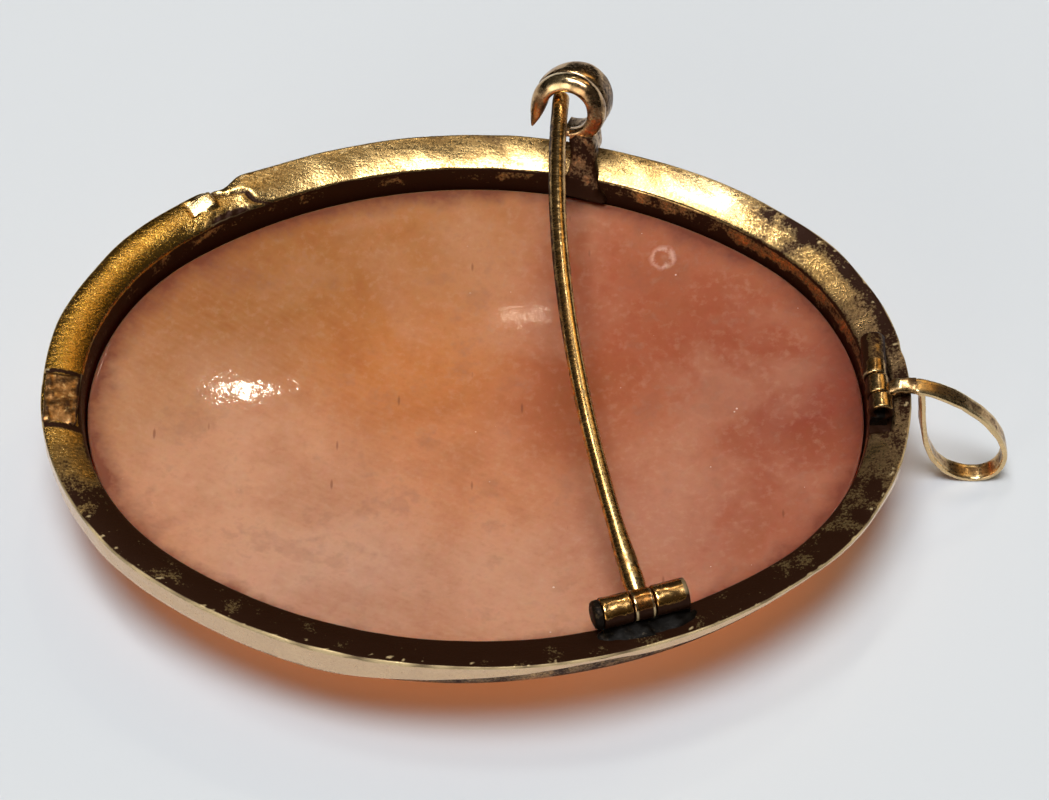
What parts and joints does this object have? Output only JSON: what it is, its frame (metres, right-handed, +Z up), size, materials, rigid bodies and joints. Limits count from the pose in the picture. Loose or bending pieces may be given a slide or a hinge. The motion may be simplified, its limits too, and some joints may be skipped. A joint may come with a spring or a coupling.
{
  "type": "cameo brooch pendant",
  "caption": "Oval shell cameo in a gold mount with a hinged brooch pin, an open hook catch and a hinged bail, lying on its carved face.",
  "frame": {"origin": "centre of the oval on the table that the jewel lies on, face down", "axes": "+X towards the bail, the top of the jewel when worn; +Y towards the catch of the pin; +Z up, out of the back of the jewel"},
  "size_m": [0.0499, 0.0355, 0.0119],
  "materials": {
    "mount_gold": "worn yellow gold, satin with dark tarnish in its corners",
    "shell": "polished cameo shell, orange pink behind and pale where it is carved",
    "pin_gold": "drawn gold wire, rubbed bright, rough near its tip",
    "rivet_metal": "tarnished dark brown",
    "bail_gold": "pale rose gold ribbon"
  },
  "bodies": {
    "mount": {"frame": "mount_gold", "cameo_shell": "shell", "pin_hinge_rivet": "rivet_metal", "bail_hinge_rivet": "rivet_metal"},
    "pin": {"pin_stem": "pin_gold"},
    "bail": {"bail": "bail_gold"}
  },
  "joints": [
    {"name": "pin_hinge", "type": "hinge", "parent": "mount", "child": "pin", "pos_m": [0.0082, -0.0137, 0.00753], "axis": [0.955, 0.2965, 0], "range_deg": [0, 110]},
    {"name": "bail_hinge", "type": "hinge", "parent": "mount", "child": "bail", "pos_m": [0.0205, -0.0001, 0.00735], "axis": [0, -1, 0], "range_deg": [0, 224]}
  ]
}
